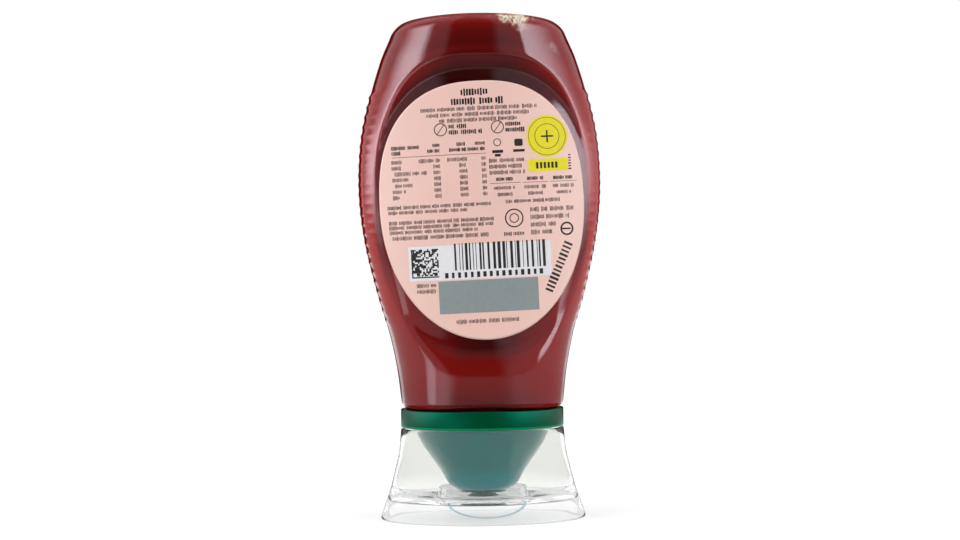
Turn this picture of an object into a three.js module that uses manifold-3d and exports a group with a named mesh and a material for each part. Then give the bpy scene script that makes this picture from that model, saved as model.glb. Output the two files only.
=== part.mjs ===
// A shut squeeze bottle of ketchup that stands upside down on its clear overcap.
// Millimetres, +Z up. The origin is the centre of the overcap's foot, and the back label faces -Y.
import * as THREE from "three";
import { mergeVertices } from "three/addons/utils/BufferGeometryUtils.js";
import Module from "manifold-3d";

const wasm = await Module();
wasm.setup();

// Driving dimensions
const GAP = 0.3; // clearance between neighbouring pieces
const SIDES = 36; // facets round an outer section
const INNER_SIDES = 32;
const PET_WALL = 0.8;

// The blown body: its heel is just above the closure, and its base is the upper end.
const HEEL_Z = 35.4;
const TOP_Z = 157.4;
const HEEL_RADIUS = 1.5;
const TOP_RADIUS = 3;
const CROWN = 2.1; // how far the upper end falls from its middle to its two sides
const PUSH_UP = 1.2; // depth of the shallow dish in the upper end
const PUSH_UP_SHARE = 0.62; // its width against the whole end
const HALF_WIDTH = [
  [36.7, 25.4], [46.8, 26.6], [56.9, 28.6], [72, 32.8], [87, 36.3],
  [103, 38], [120, 37], [135, 33.5], [153.4, 27.4],
]; // [height, half width]
const HALF_DEPTH = [[36.7, 20.7], [60, 21.9], [100, 22.6], [140, 21.9], [154, 20.8]];
const SQUARENESS = [[36.7, 3.2], [60, 2.7], [100, 2.25], [140, 2.3], [157, 2.4]]; // 2 is an ellipse

// The two recessed label panels, parts of an upright cylinder with an oval edge
const PANEL_DEPTH = 19.5; // from the middle of the bottle
const PANEL_BEND = 85;
const PANEL = { halfWidth: 32.8, low: 54.4, wide: 99.5, high: 141, power: 2.2 };
const SLOPE_HIGH = 0.6; // steepness of the step round the panel, above and at the sides
const SLOPE_LOW = 0.27;

// Finger ribs down both sides, from the highest, with the highest ones the deepest
const RIBS = { count: 24, first: 132.6, pitch: 3.05, proud: 0.42, proudLow: 0.2, fadeCount: 7 };

// Labels
const LABEL = { halfWidth: 31.6, low: 57.2, wide: 98.6, high: 136.4, power: 2.2, thick: 0.25 };
const LABEL_TILT = THREE.MathUtils.degToRad(2.2);

// Neck, hidden in the closure
const PLUG = { halfWidth: 23.7, halfDepth: 18.8, low: 33.4 };
const NECK = { radius: 12.5, wall: 1.2, end: 18 };

// Green closure: [height, half width, half depth]
const CONE = [
  [7.8, 7, 7], [8.7, 7.9, 7.9], [10.3, 10.5, 10.4], [15, 13.7, 12.9],
  [21, 17.7, 15.7], [27.2, 23.3, 19.4], [28.8, 23.8, 19.7],
];
const BAND = { halfWidth: 25.65, halfDepth: 21, low: 28.8, high: 34.6, chamfer: 0.35 };
const CONE_WALL = 1.4;
const ORIFICE_RADIUS = 2;

// Clear overcap
const SKIRT = [
  [0, 32], [0.5, 32.3], [3.3, 31.4], [8.3, 29.6], [14.5, 27.9], [21, 26.4], [28.5, 25.66],
]; // [height, half width]
const SKIRT_HALF_DEPTH = (halfWidth) => 21 + 0.69 * (halfWidth - BAND.halfWidth);
const SKIRT_WALL = 1.3;
const SKIRT_FOOT_WALL = 1.7;
const SKIRT_STEP_Z = 9.9;
const PLATE = { low: 6, high: 7.4 };
const SEAL_RING = { radius: 14, wall: 1.2, high: 9.8 };
const THUMB = { halfWidth: 12, low: 2.4, high: 6.9, deep: 0.5 };

// Air bubble under the upper end, to the right of the back label's middle
const BUBBLE = { x: 14, y: -11.5, z: 155.5, halfWidth: 7.5, halfDepth: 5.5, halfHeight: 2.6 };

// A smooth curve of a value against height, through a few stations.
function curveThrough(stations) {
  const heights = stations.map(([z]) => z);
  const spline = new THREE.CubicInterpolant(heights, stations.map(([, value]) => value), 1);
  return (z) => spline.evaluate(THREE.MathUtils.clamp(z, heights[0], heights.at(-1)))[0];
}

const halfWidthAt = curveThrough(HALF_WIDTH);
const halfDepthAt = curveThrough(HALF_DEPTH);
const squarenessAt = curveThrough(SQUARENESS);

// Signed power, which squares an ellipse off into a superellipse.
const powered = (value, power) => Math.sign(value) * Math.abs(value) ** (2 / power);

// One level ring of an oval section, anticlockwise from +X.
function ring(halfWidth, halfDepth, z, power = 2, sides = SIDES) {
  return Array.from({ length: sides }, (_, i) => {
    const angle = (2 * Math.PI * i) / sides;
    const x = halfWidth * powered(Math.cos(angle), power);
    return new THREE.Vector3(x, halfDepth * powered(Math.sin(angle), power), z);
  });
}

// A closed skin over rings that follow each other upwards.
function loft(rings) {
  const sides = rings[0].length;
  const middle = (points) =>
    points.reduce((sum, point) => sum.add(point), new THREE.Vector3()).divideScalar(sides);
  const points = [...rings.flat(), middle(rings[0]), middle(rings.at(-1))];
  const lowMiddle = points.length - 2;
  const lastRing = lowMiddle - sides;
  const index = [];
  for (let i = 0; i < sides; i++) {
    const next = (i + 1) % sides;
    for (let start = 0; start < lastRing; start += sides) {
      const [a, b, c, d] = [start + i, start + next, start + sides + next, start + sides + i];
      index.push(a, b, c, a, c, d);
    }
    index.push(lowMiddle, next, i, lowMiddle + 1, lastRing + i, lastRing + next);
  }
  return new THREE.BufferGeometry().setFromPoints(points).setIndex(index);
}

// A three.js geometry as a solid that can be joined and cut.
function solid(geometry) {
  geometry.deleteAttribute("normal");
  geometry.deleteAttribute("uv");
  const merged = mergeVertices(geometry, 1e-4);
  return new wasm.Manifold(
    new wasm.Mesh({
      numProp: 3,
      vertProperties: merged.attributes.position.array,
      triVerts: new Uint32Array(merged.index.array),
    }),
  );
}

// A named mesh of a finished solid.
function piece(name, shape, material) {
  const { vertProperties, triVerts } = shape.getMesh();
  const geometry = new THREE.BufferGeometry();
  geometry.setAttribute("position", new THREE.BufferAttribute(vertProperties, 3));
  geometry.setIndex(new THREE.BufferAttribute(triVerts, 1));
  geometry.computeVertexNormals();
  const mesh = new THREE.Mesh(geometry, material);
  mesh.name = name;
  return mesh;
}

// Pieces of the label sides are drawn as (across, height, outward) and turned to face -Y;
// the front ones are then turned on to face +Y.
const toBack = (geometry) => geometry.rotateX(Math.PI / 2);
const toFront = (geometry) => toBack(geometry).rotateZ(Math.PI);

// Body section at a height, drawn in by an inset.
function bodyRing(z, inset, corner, sides, share = 1) {
  const halfWidth = halfWidthAt(z) - inset - corner;
  const halfDepth = halfDepthAt(z) - inset - corner;
  return ring(share * halfWidth, share * halfDepth, z, squarenessAt(z), sides);
}

// The upper end is crowned across its width and dished in the middle.
function crowned(points, inset) {
  const rise = THREE.MathUtils.smoothstep(points[0].z, TOP_Z - 14, TOP_Z - inset);
  return points.map((point) => point.setZ(point.z - rise * CROWN * (point.x / halfWidthAt(TOP_Z)) ** 2));
}

const between = (low, high, count) =>
  Array.from({ length: count }, (_, i) => THREE.MathUtils.lerp(low, high, (i + 1) / (count + 1)));

// Heights of the body's rings with how proud each stands. The ribs go all the way round,
// and the label panels then cut away their middles.
function ribbedLevels(low, high) {
  const { count, first, pitch, fadeCount } = RIBS;
  const lowest = first - pitch * (count - 0.5);
  const levels = [...between(low, lowest, 4), lowest].map((z) => [z, 0]);
  for (let i = count - 1; i >= 0; i--) {
    const crest = first - pitch * i;
    const proud = THREE.MathUtils.lerp(RIBS.proud, RIBS.proudLow, Math.min(1, i / fadeCount));
    levels.push([crest, proud], [crest + pitch / 2, 0]);
  }
  return [...levels, ...between(first + pitch / 2, high, 3).map((z) => [z, 0])];
}

// Body without neck or panels, upwards. The outer skin has inset 0 and ribs.
function bodyRings(inset, sides) {
  const low = HEEL_Z + inset;
  const high = TOP_Z - inset;
  const turns = [0, 0.5, 1].map((share) => (share * Math.PI) / 2);
  const heel = turns.map((turn) =>
    bodyRing(low + HEEL_RADIUS * (1 - Math.sin(turn)), inset, HEEL_RADIUS * (1 - Math.cos(turn)), sides),
  );
  const ends = [low + HEEL_RADIUS, high - TOP_RADIUS];
  const levels = inset > 0 ? between(...ends, 10).map((z) => [z, 0]) : ribbedLevels(...ends);
  const straight = levels.map(([z, proud]) => bodyRing(z, inset - proud, 0, sides));
  const end = turns.map((turn) =>
    bodyRing(high - TOP_RADIUS * (1 - Math.sin(turn)), inset, TOP_RADIUS * (1 - Math.cos(turn)), sides),
  );
  const dish = [0.8, PUSH_UP_SHARE].map((share) =>
    bodyRing(high, inset, TOP_RADIUS, sides, share).map((point) =>
      point.setZ(point.z - (share === PUSH_UP_SHARE ? PUSH_UP : 0)),
    ),
  );
  return [...heel.reverse(), ...[...straight, ...end, ...dish].map((points) => crowned(points, inset))];
}

// Everything outside one label panel, to be cut from the body.
function panelCutter(inset, turned) {
  const sides = 36;
  const panelAt = (x) => PANEL_DEPTH - inset - PANEL_BEND + Math.sqrt(PANEL_BEND ** 2 - x ** 2);
  const wall = (spread) =>
    Array.from({ length: sides }, (_, i) => {
      const angle = (2 * Math.PI * i) / sides;
      const across = PANEL.halfWidth * powered(Math.cos(angle), PANEL.power);
      const reach = Math.sin(angle) > 0 ? PANEL.high - PANEL.wide : PANEL.wide - PANEL.low;
      const height = PANEL.wide + reach * powered(Math.sin(angle), PANEL.power);
      const slope = THREE.MathUtils.lerp(SLOPE_HIGH, SLOPE_LOW, Math.max(0, -Math.sin(angle)) ** 2);
      return new THREE.Vector3(
        across + spread * Math.cos(angle),
        height + spread * Math.sin(angle),
        panelAt(across) + slope * spread,
      );
    });
  const far = wall(16).map((point) => point.clone().setZ(60));
  const plug = solid(turned(loft([wall(-4), wall(16), far])));
  const half = Math.asin(40 / PANEL_BEND);
  const outline = new THREE.Shape()
    .absarc(0, PANEL_BEND - PANEL_DEPTH + inset, PANEL_BEND, -Math.PI / 2 - half, -Math.PI / 2 + half, false)
    .lineTo(40, 0)
    .lineTo(-40, 0);
  const core = new THREE.ExtrudeGeometry(outline, { depth: 140, bevelEnabled: false, curveSegments: 20 });
  core.translate(0, 0, 30);
  return plug.subtract(solid(turned === toFront ? core.rotateZ(Math.PI) : core));
}

// The space inside the bottle at an inset, through the neck and on to a low end.
function inside(inset, lowEnd) {
  const sides = INNER_SIDES;
  const neckRadius = NECK.radius - NECK.wall - (inset - PET_WALL);
  const plug = [PLUG.halfWidth - inset, PLUG.halfDepth - inset];
  const floor = PLUG.low + inset;
  const body = loft([
    ring(neckRadius, neckRadius, lowEnd, 2, sides),
    ring(neckRadius, neckRadius, floor, 2, sides),
    ring(...plug, floor + 0.4, 2, sides),
    ring(...plug, HEEL_Z + inset, 2, sides),
    ...bodyRings(inset, sides).slice(1),
  ]);
  return solid(body).subtract(panelCutter(inset, toBack)).subtract(panelCutter(inset, toFront));
}

function bottle() {
  const outside = loft([
    ring(NECK.radius, NECK.radius, NECK.end),
    ring(NECK.radius, NECK.radius, PLUG.low),
    ring(PLUG.halfWidth, PLUG.halfDepth, PLUG.low),
    ring(PLUG.halfWidth, PLUG.halfDepth, HEEL_Z),
    ...bodyRings(0, SIDES),
  ]);
  const panelled = solid(outside).subtract(panelCutter(0, toBack)).subtract(panelCutter(0, toFront));
  return panelled.subtract(inside(PET_WALL, NECK.end - 2));
}

function ketchup() {
  const bubble = new THREE.SphereGeometry(1, 16, 10)
    .rotateX(Math.PI / 2)
    .scale(BUBBLE.halfWidth, BUBBLE.halfDepth, BUBBLE.halfHeight)
    .translate(BUBBLE.x, BUBBLE.y, BUBBLE.z);
  return inside(PET_WALL + GAP, NECK.end + 0.2).subtract(solid(bubble));
}

// A label: an oval cut from a thin curved sheet that follows the panel.
function label(turned, tilt) {
  const sides = 48;
  const oval = new THREE.Shape(
    Array.from({ length: sides }, (_, i) => {
      const angle = (2 * Math.PI * i) / sides;
      const reach = Math.sin(angle) > 0 ? LABEL.high - LABEL.wide : LABEL.wide - LABEL.low;
      return new THREE.Vector2(
        LABEL.halfWidth * powered(Math.cos(angle), LABEL.power),
        reach * powered(Math.sin(angle), LABEL.power),
      );
    }),
  );
  const stamp = new THREE.ExtrudeGeometry(oval, { depth: 40, bevelEnabled: false });
  stamp.rotateZ(tilt).translate(0, LABEL.wide, 0);
  const half = Math.asin(36 / PANEL_BEND);
  const inner = PANEL_BEND + GAP;
  const bendMiddle = PANEL_BEND - PANEL_DEPTH;
  const strip = new THREE.Shape()
    .absarc(0, bendMiddle, inner + LABEL.thick, -Math.PI / 2 - half, -Math.PI / 2 + half, false)
    .absarc(0, bendMiddle, inner, -Math.PI / 2 + half, -Math.PI / 2 - half, true);
  const sheet = new THREE.ExtrudeGeometry(strip, { depth: 110, bevelEnabled: false, curveSegments: 16 });
  sheet.translate(0, 0, 40);
  return solid(turned(stamp)).intersect(solid(turned === toFront ? sheet.rotateZ(Math.PI) : sheet));
}

function closure() {
  const { halfWidth, halfDepth, low, high, chamfer } = BAND;
  const outside = loft([
    ...CONE.map(([z, a, b]) => ring(a, b, z)),
    ring(halfWidth - chamfer, halfDepth - chamfer, low),
    ring(halfWidth, halfDepth, low + chamfer),
    ring(halfWidth, halfDepth, high - chamfer),
    ring(halfWidth - chamfer, halfDepth - chamfer, high),
  ]);
  const throat = CONE.slice(2).map(([z, a, b]) => ring(a - CONE_WALL, b - CONE_WALL, z));
  const socket = [PLUG.halfWidth + GAP, PLUG.halfDepth + GAP];
  const hollow = loft([
    ring(ORIFICE_RADIUS, ORIFICE_RADIUS, 0),
    ring(ORIFICE_RADIUS, ORIFICE_RADIUS, throat[0][0].z),
    ...throat,
    ring(...socket, low + CONE_WALL),
    ring(...socket, high + 1),
  ]);
  return solid(outside).subtract(solid(hollow));
}

// The skirt's surface, drawn in by an inset, between two heights.
function skirt(inset, low = SKIRT[0][0], high = SKIRT.at(-1)[0], sides = INNER_SIDES) {
  const widthAt = curveThrough(SKIRT);
  const heights = [low, ...SKIRT.map(([z]) => z).filter((z) => z > low && z < high), high];
  return loft(
    heights.map((z) => {
      const halfWidth = widthAt(z);
      return ring(halfWidth - inset, SKIRT_HALF_DEPTH(halfWidth) - inset, z, 2, sides);
    }),
  );
}

function overcap() {
  const halfMoon = new THREE.Shape()
    .absellipse(0, THUMB.high, THUMB.halfWidth, THUMB.high - THUMB.low, Math.PI, 2 * Math.PI, false)
    .closePath();
  const thumb = new THREE.ExtrudeGeometry(halfMoon, { depth: 40, bevelEnabled: false, curveSegments: 14 });
  const { radius, wall, high } = SEAL_RING;
  const sealRing = new THREE.LatheGeometry(
    [
      new THREE.Vector2(radius - wall, PLATE.low + 0.5),
      new THREE.Vector2(radius, PLATE.low + 0.5),
      new THREE.Vector2(radius, high),
      new THREE.Vector2(radius - wall, high),
      new THREE.Vector2(radius - wall, PLATE.low + 0.5),
    ],
    28,
  ).rotateX(Math.PI / 2);
  const rim = SKIRT.at(-1)[0];
  const hollows = [
    skirt(SKIRT_WALL, SKIRT_STEP_Z, rim + 1),
    skirt(SKIRT_FOOT_WALL, PLATE.high, SKIRT_STEP_Z + 0.5),
    skirt(SKIRT_FOOT_WALL, -1, PLATE.low),
  ].map(solid);
  const recess = solid(toBack(thumb)).subtract(solid(skirt(THUMB.deep, 0, rim, SIDES)));
  const cup = [...hollows, recess].reduce((rest, cut) => rest.subtract(cut), solid(skirt(0, 0, rim, SIDES)));
  return cup.add(solid(sealRing));
}

const finish = (color, roughness, opacity = 1) =>
  new THREE.MeshStandardMaterial({ color, roughness, metalness: 0, opacity, transparent: opacity < 1 });
const clearPet = finish(0xf4dfda, 0.08, 0.3);
const ketchupRed = finish(0x7c0f08, 0.35);
const labelPink = finish(0xecbfb0, 0.55);
const capGreen = finish(0x0b6a4b, 0.35);
const clearPlastic = finish(0xdfe9e8, 0.15, 0.35);

const group = new THREE.Group();
group.add(
  piece("bottle", bottle(), clearPet),
  piece("ketchup", ketchup(), ketchupRed),
  piece("label_back", label(toBack, LABEL_TILT), labelPink),
  piece("label_front", label(toFront, 0), labelPink),
  piece("closure", closure(), capGreen),
  piece("overcap", overcap(), clearPlastic),
);

export default group;
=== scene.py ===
import math

import bpy
import numpy as np
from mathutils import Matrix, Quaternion, Vector


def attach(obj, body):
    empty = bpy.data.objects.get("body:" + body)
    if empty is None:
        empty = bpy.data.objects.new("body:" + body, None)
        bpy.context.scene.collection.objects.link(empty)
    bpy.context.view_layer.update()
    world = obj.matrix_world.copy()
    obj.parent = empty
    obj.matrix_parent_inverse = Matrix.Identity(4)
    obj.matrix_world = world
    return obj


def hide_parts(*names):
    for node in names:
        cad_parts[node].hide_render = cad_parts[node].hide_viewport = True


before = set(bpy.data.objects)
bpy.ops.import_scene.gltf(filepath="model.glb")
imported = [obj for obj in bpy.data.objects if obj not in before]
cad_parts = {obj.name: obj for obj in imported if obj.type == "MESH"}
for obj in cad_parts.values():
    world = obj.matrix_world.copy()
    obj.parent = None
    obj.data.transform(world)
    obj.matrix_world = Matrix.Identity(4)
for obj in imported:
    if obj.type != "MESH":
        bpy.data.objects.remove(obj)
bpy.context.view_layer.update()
MM = 0.001


# The camera. It stands about level with the middle of the bottle, 0.76 m from its axis, in front of the
# back label and three degrees round to the left, with the small roll of the photograph.
camera_distance = 757 * MM
camera_height = 85.6 * MM
aim = Vector((-0.16, 0, 78.0)) * MM
camera_turn = math.radians(3)
camera_roll = math.radians(0.7)
pixels_per_metre = 3170
image_width = 960

lens = bpy.data.cameras.new("camera")
lens.sensor_width = 36
lens.lens = lens.sensor_width * pixels_per_metre * camera_distance / image_width
camera = bpy.data.objects.new("camera", lens)
camera.location = (
    -camera_distance * math.sin(camera_turn),
    -camera_distance * math.cos(camera_turn),
    camera_height,
)
camera.rotation_mode = "QUATERNION"
look = aim - camera.location
camera.rotation_quaternion = look.to_track_quat("-Z", "Y") @ Quaternion((0, 0, 1), -camera_roll)
bpy.context.scene.collection.objects.link(camera)
bpy.context.scene.camera = camera
bpy.context.scene.view_settings.view_transform = "Standard"


# The studio, white to the camera. For reflections, two tall soft lights lean together over a dark gap
# where the camera stands, the sides are dim, and small glows lie near the horizon. What is seen or lit
# through clear plastic gets a plainer light.
class Wire:
    """An output of a node, which sums and products can use."""

    def __init__(self, tree, socket):
        self.tree = tree
        self.socket = socket

    def maths(self, operation, *values):
        return self.tree.make("ShaderNodeMath", {"operation": operation}, dict(enumerate(values)))

    def __add__(self, other):
        return self.maths("ADD", self, other)

    def __sub__(self, other):
        return self.maths("SUBTRACT", self, other)

    def __lt__(self, other):
        return self.maths("LESS_THAN", self, other)

    def __rsub__(self, other):
        return self.maths("SUBTRACT", other, self)

    def __mul__(self, other):
        return self.maths("MULTIPLY", self, other)

    __radd__ = __add__
    __rmul__ = __mul__

    def rise(self, low, high):
        """0 below low, 1 above high, and smooth between them."""
        limits = {"Value": self, "From Min": low, "From Max": high}
        return self.tree.make("ShaderNodeMapRange", {"interpolation_type": "SMOOTHSTEP"}, limits, "Result")

    def between(self, low, full, fade, high):
        """0 below low, 1 from full to fade, 0 again above high, and smooth between them."""
        return self.rise(low, full) * (1 - self.rise(fade, high))


class Tree:
    """The node tree of a material or of the world, empty at first."""

    def __init__(self, owner):
        owner.use_nodes = True
        self.tree = owner.node_tree
        self.tree.nodes.clear()

    def make(self, kind, settings, inputs, output=0):
        node = self.tree.nodes.new(kind)
        for name, value in settings.items():
            if name == "stops":
                for stop, (place, colour) in zip(node.color_ramp.elements, value):
                    stop.position = place
                    stop.color = colour
            else:
                setattr(node, name, value)
        for name, value in inputs.items():
            if isinstance(value, Wire):
                self.tree.links.new(value.socket, node.inputs[name])
            else:
                node.inputs[name].default_value = value
        return Wire(self, node.outputs[output]) if node.outputs else None

    def blend(self, share, first, second):
        """Two colours mixed by a share from 0 to 1."""
        return self.make("ShaderNodeMix", {"data_type": "RGBA"}, {0: share, 6: first, 7: second}, 2)

    def ramp(self, share, *stops):
        """A colour for a share, between two (share, colour) stops."""
        return self.make("ShaderNodeValToRGB", {"stops": stops}, {"Fac": share}, "Color")

    def place(self):
        return self.make("ShaderNodeTexCoord", {}, {}, "Object")

    def level(self):
        """The height above the table, in millimetres."""
        return self.make("ShaderNodeSeparateXYZ", {}, {"Vector": self.place()}, "Z") * (1 / MM)

    def noise(self, scale, detail, distortion=0.0):
        """An uneven value about 0.5, that varies over the piece."""
        inputs = {"Vector": self.place(), "Scale": scale, "Detail": detail, "Distortion": distortion}
        return self.make("ShaderNodeTexNoise", {}, inputs)

    def stored(self, name):
        """A value kept on each point of the mesh."""
        return self.make("ShaderNodeAttribute", {"attribute_name": name}, {}, "Fac")


sky = Tree(bpy.data.worlds.new("studio"))
bpy.context.scene.world = bpy.data.worlds["studio"]
direction = sky.make("ShaderNodeTexCoord", {}, {}, "Generated")
axes = sky.make("ShaderNodeSeparateXYZ", {}, {"Vector": direction})
across, forwards, upwards = (Wire(sky, axes.socket.node.outputs[name]) for name in "XYZ")

# degrees round from the camera, and up from the horizon; plain factors are strengths of light
to_degrees = math.degrees(1)
aside = (across.maths("ARCTAN2", across, 0 - forwards) + camera_turn) * to_degrees
leftwards = 0 - aside
turn = aside.maths("ABSOLUTE", aside)
height = upwards.maths("ARCSINE", upwards) * to_degrees
lean = height.maths("MAXIMUM", 12 - height, 0)
splay = (1 - height.rise(3, 17)) * 25
right_light = (aside - lean * 0.75).rise(29, 33) * (1 - (aside - splay).rise(25, 106)) * 6.2
left_light = (leftwards - lean * 1.8).rise(29, 44) * (1 - (turn - splay).rise(52, 102)) * 6.8
boxes = (right_light + left_light) * height.between(-8, 4, 20, 44)
sides = (turn.between(8, 14, 138, 152) * 0.45 + turn.between(70, 95, 138, 152) * 0.3) * height.rise(-8, -2)
left_glow = leftwards.between(3, 14, 38, 46) * 0.9
table_glow = height.between(-26, -13, -9, -3) * (turn.rise(8, 20) * 0.45 + left_glow + 0.3)
front_table = (1 - height.rise(-36, -16)) * (1 - turn.rise(60, 100)) * 0.15
crest_gleam = leftwards.between(27, 33, 44, 50) * height.between(-14, -8, -3, 1) * 1.9
rear_low = turn.rise(136, 150) * height.between(-14, -9, -5.6, -4.6) * 0.75
above = height.rise(20, 32) * 0.12 + height.rise(44, 60) * 0.4
studio_light = boxes + sides + table_glow + front_table + crest_gleam + rear_low + above

# 1 for rays that have gone through clear plastic, been scattered or been mirrored on their way
rays = sky.make("ShaderNodeLightPath", {}, {}, "Is Camera Ray")
behind_clear, scattered, mirrored = (
    1 - (Wire(sky, rays.socket.node.outputs[name + " Depth"]) < 0.5)
    for name in ("Transmission", "Diffuse", "Glossy")
)
even_light = 1.2 + upwards
low_strips = turn.between(12, 30, 75, 100) * (1 - height.rise(-40, -25)) * 3.4
inner_gloss = boxes * 0.65 + turn.rise(100, 125) * 0.75 + 0.18 + low_strips
through_light = scattered * even_light + (1 - scattered) * (mirrored * inner_gloss + (1 - mirrored))
strength = rays + (1 - rays) * (behind_clear * through_light + (1 - behind_clear) * studio_light)
shine = sky.make("ShaderNodeBackground", {}, {"Color": (1, 1, 1, 1), "Strength": strength})
sky.make("ShaderNodeOutputWorld", {}, {"Surface": shine})


# The floor: a pale round table top under the bottle. It glows a little, to look white, and neither lights
# the bottle nor shows in its gloss.
def link(name, mesh, material):
    mesh.materials.clear()
    mesh.materials.append(material)
    thing = bpy.data.objects.new(name, mesh)
    bpy.context.scene.collection.objects.link(thing)
    return thing


def plastic(name, colour, **settings):
    """A material with one Principled shader; settings are its other sockets."""
    material = bpy.data.materials.new(name)
    tree = Tree(material)
    sockets = {"Base Color": colour, **{key.replace("_", " "): value for key, value in settings.items()}}
    if callable(colour):
        sockets["Base Color"] = colour(tree)
    for key, value in sockets.items():
        if callable(value):
            sockets[key] = value(tree)
    shader = tree.make("ShaderNodeBsdfPrincipled", {}, sockets)
    tree.make("ShaderNodeOutputMaterial", {}, {"Surface": shader})
    return material


def circle(count):
    """Angles spaced evenly all the way round."""
    return np.linspace(0, 2 * math.pi, count, endpoint=False)


floor_radius = 2.5
floor_mesh = bpy.data.meshes.new("floor")
floor_points = [(floor_radius * math.cos(a), floor_radius * math.sin(a), 0) for a in circle(96)]
floor_mesh.from_pydata(floor_points, [], [list(range(len(floor_points)))])
floor_paint = plastic(
    "floor_paint", (0.5, 0.5, 0.49, 1), Roughness=0.7, Emission_Color=(1, 1, 1, 1), Emission_Strength=0.6
)
floor = link("floor", floor_mesh, floor_paint)
floor.visible_glossy = False
floor.visible_diffuse = False


# The bottle: one blown PET shell, base up, with an oval panel pressed in for each label and finger ribs
# down both sides. The neck below it is hidden in the closure.
pet_wall = 0.8
heel_z, top_z = 35.4, 157.4
heel_radius, top_radius = 1.5, 3.6
crown, crown_reach = 2.1, 14
push_up, push_up_share, push_up_edge = 1.2, 0.62, 0.84
panel_depth, panel_bend = 19.5, 85.0
panel_half_width, panel_low, panel_wide, panel_high, panel_power = 32.8, 54.4, 99.5, 141.0, 2.5
slope_high, slope_side, slope_low = 0.74, 0.31, 0.3
rib_count, rib_first, rib_pitch = 24, 132.6, 3.05
rib_proud, rib_proud_low, rib_fade_count, rib_crest, swell_proud = 0.42, 0.2, 7, 0.12, 0.25
parting_proud, parting_reach, side_half_width, side_half_depth = 0.07, 0.004, 34, 22
plug_half_width, plug_half_depth, plug_low = 23.7, 18.8, 33.4
neck_radius, neck_wall, neck_end = 12.5, 1.2, 18.0


def smooth(value, low=0.0, high=1.0):
    share = np.clip((value - low) / (high - low), 0, 1)
    return share * share * (3 - 2 * share)


def through(*stations):
    """A smooth curve through (height, value) stations, with the mean of both chords as slope at each."""
    heights, values = np.array(stations, float).T
    chords = np.diff(values) / np.diff(heights)
    slopes = np.concatenate([chords[:1], (chords[1:] + chords[:-1]) / 2, chords[-1:]])

    def value_at(height):
        height = np.clip(height, heights[0], heights[-1])
        below = np.clip(np.searchsorted(heights, height) - 1, 0, len(heights) - 2)
        above = below + 1
        step = heights[above] - heights[below]
        part = (height - heights[below]) / step
        start = values[below] * (1 + 2 * part) * (1 - part) ** 2
        start = start + slopes[below] * step * part * (1 - part) ** 2
        end = values[above] * part * part * (3 - 2 * part)
        return start + end + slopes[above] * step * part * part * (part - 1)

    return value_at


half_width_at = through(
    (36.7, 25.4), (46.8, 26.6), (56.9, 28.6), (72, 32.8), (87, 36.3),
    (103, 38), (120, 37), (135, 33.5), (153.4, 27.5), (top_z, 26.1),
)
half_depth_at = through((36.7, 20.7), (60, 21.9), (100, 22.6), (140, 21.9), (154, 20.8))
squareness_at = through((36.7, 3.2), (60, 2.7), (100, 2.3), (125, 2.42), (145, 2.65), (157, 2.6))


def oval(half_width, half_depth, z, angles, power=2.0):
    """Rings of points, one for each height, of superellipse sections."""
    sizes = (half_width, half_depth, z, power)
    half_width, half_depth, z, power = (
        np.broadcast_to(np.atleast_1d(value)[:, None], (np.size(sizes[2]), 1)) for value in sizes
    )
    cosines, sines = np.cos(angles)[None], np.sin(angles)[None]
    x = half_width * np.sign(cosines) * np.abs(cosines) ** (2 / power)
    y = half_depth * np.sign(sines) * np.abs(sines) ** (2 / power)
    return np.stack([x, y, np.broadcast_to(z, x.shape)], axis=2)


def oval_share(x, z, half_width, low, wide, high):
    """1 on the outline of an upright oval, widest at a given height, less inside it and more outside."""
    height = z - wide
    reach = np.where(height > 0, high - wide, wide - low)
    share = np.abs(x / half_width) ** panel_power + np.abs(height / reach) ** panel_power
    return np.maximum(share ** (1 / panel_power), 0.05)


def outside_oval(x, z, half_width, low, wide, high):
    """The distance out from that outline, below 0 inside it."""
    return np.hypot(x, z - wide) * (1 - 1 / oval_share(x, z, half_width, low, wide, high))


def panel_at(x, z, inset, edge_radius=0.8):
    """How far out the label panel and the step round it lie, in front of a place on the bottle."""
    outside = outside_oval(x, z, panel_half_width, panel_low, panel_wide, panel_high)
    span = np.maximum(np.hypot(x, z - panel_wide), 1e-3)
    slope = slope_side + (slope_high - slope_side) * np.maximum(0, (z - panel_wide) / span) ** 4
    slope = slope + (slope_low - slope_side) * np.maximum(0, (panel_wide - z) / span) ** 2
    edge_x = x / np.maximum(oval_share(x, z, panel_half_width, panel_low, panel_wide, panel_high), 1)
    step = slope * (outside + np.sqrt(outside**2 + edge_radius**2)) / 2
    return panel_depth - inset - panel_bend + np.sqrt(panel_bend**2 - edge_x**2) + step


def side_relief(z, y, clear):
    """How far the ribs, and the soft swelling beside them, stand out from the side of the body."""
    along = (z - rib_first) / rib_pitch
    wave = 1 - np.sqrt(np.sin(math.pi * along) ** 2 + rib_crest**2) + rib_crest
    proud = rib_proud + (rib_proud_low - rib_proud) * np.clip(-along / rib_fade_count, 0, 1)
    proud = proud * wave * smooth(along, -rib_count + 0.4, -rib_count + 1)
    proud = proud * (1 - smooth(along, 0.2, 0.6))
    ribs = proud[:, None] * smooth(clear, 0.15, 1.0) * (1 - smooth(np.abs(y), 5.0, 13.0))
    swell = smooth(along, -rib_count + 0.4, -rib_count + 3) * (1 - smooth(along, 0.3, 0.7))
    swell = swell_proud * swell[:, None] * smooth(np.abs(y), 3, 8) * (1 - smooth(np.abs(y), 9, 15))
    return ribs + swell * smooth(clear, 0.15, 1.0)


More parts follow.
